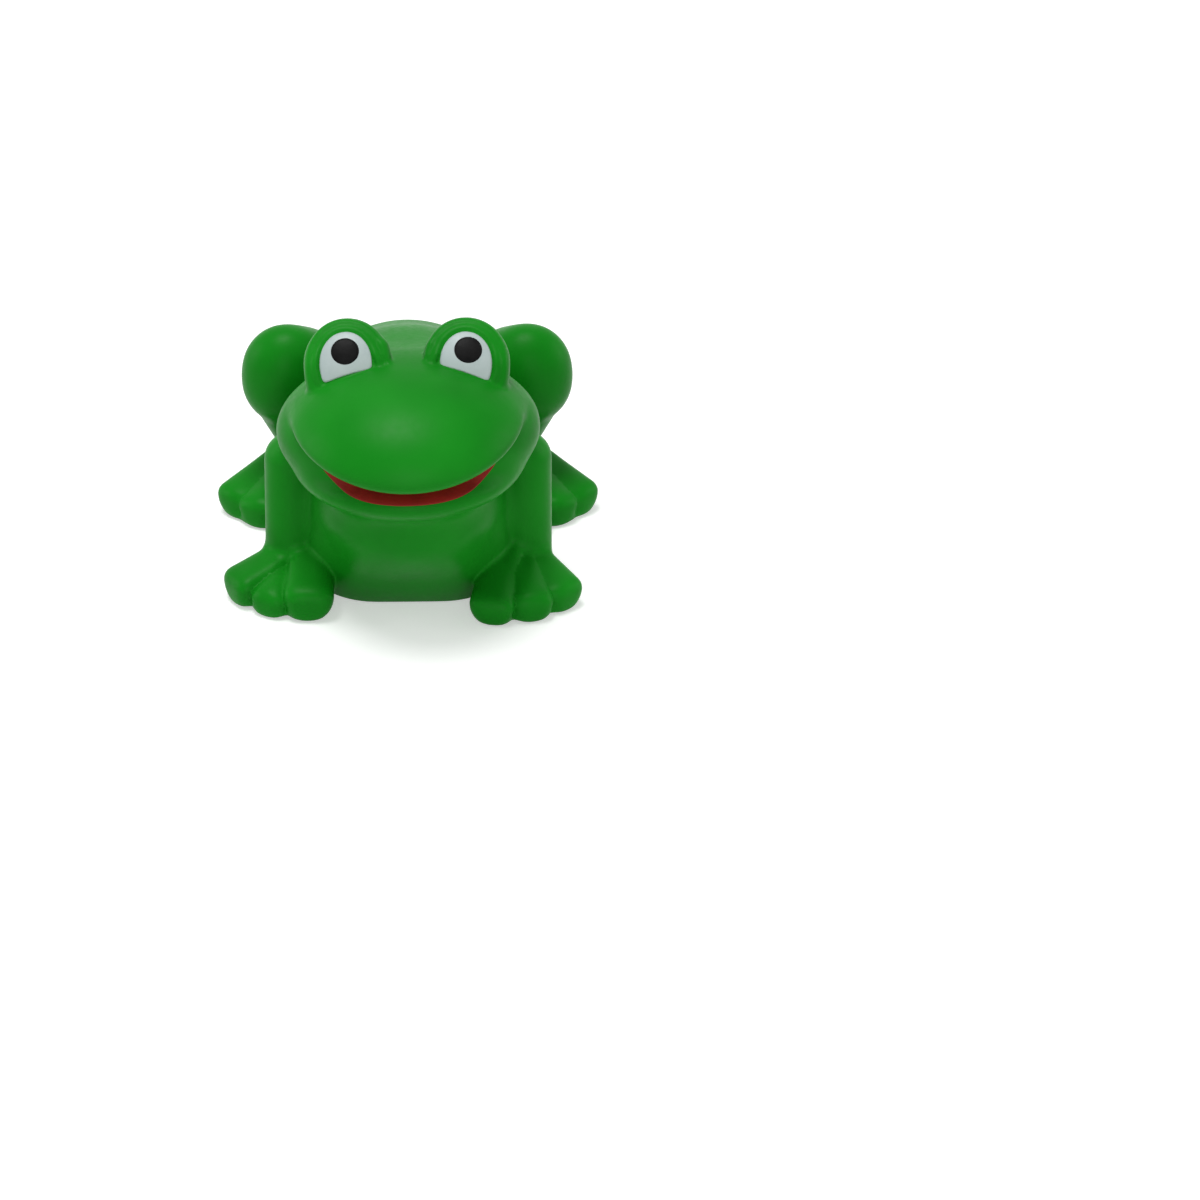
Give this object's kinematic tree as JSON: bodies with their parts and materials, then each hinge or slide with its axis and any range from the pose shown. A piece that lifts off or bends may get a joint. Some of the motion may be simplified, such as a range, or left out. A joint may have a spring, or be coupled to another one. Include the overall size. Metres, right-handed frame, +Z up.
{
  "type": "frog squeeze ball",
  "caption": "Sitting frog squeeze ball of soft foam with a flat belly; its head and its folded hind legs press in and spring back.",
  "frame": {"origin": "on the flat belly face that the frog sits on, in its plane of symmetry", "axes": "+Z up, -Y the way the frog faces, +X the frog's left side"},
  "size_m": [0.0724, 0.0809, 0.0542],
  "materials": {
    "skin": "satin green paint on moulded foam skin",
    "core": "open-cell foam",
    "white": "satin white paint film",
    "black": "satin black paint film",
    "red": "dark red paint film"
  },
  "bodies": {
    "torso": {"torso_skin": "skin", "torso_core": "core", "left_foreleg": "skin", "right_foreleg": "skin", "neck_foam": "skin", "left_hip_foam": "skin", "right_hip_foam": "skin"},
    "head": {"head_skin": "skin", "head_core": "core", "left_eye_white": "white", "right_eye_white": "white", "left_pupil": "black", "right_pupil": "black", "mouth_lining": "red"},
    "left_leg": {"left_hind_leg": "skin"},
    "right_leg": {"right_hind_leg": "skin"}
  },
  "joints": [
    {"name": "head_press", "type": "slide", "parent": "torso", "child": "head", "axis": [0, 0.5075, -0.8616], "range_m": [0, 0.0065], "stiffness_N_per_m": 600, "deforming": ["neck_foam"]},
    {"name": "left_leg_press", "type": "slide", "parent": "torso", "child": "left_leg", "axis": [-0.8949, -0.4462, 0], "range_m": [0, 0.004], "stiffness_N_per_m": 400, "deforming": ["left_hip_foam"]},
    {"name": "right_leg_press", "type": "slide", "parent": "torso", "child": "right_leg", "axis": [0.8949, -0.4462, 0], "range_m": [0, 0.004], "stiffness_N_per_m": 400, "deforming": ["right_hip_foam"]}
  ]
}
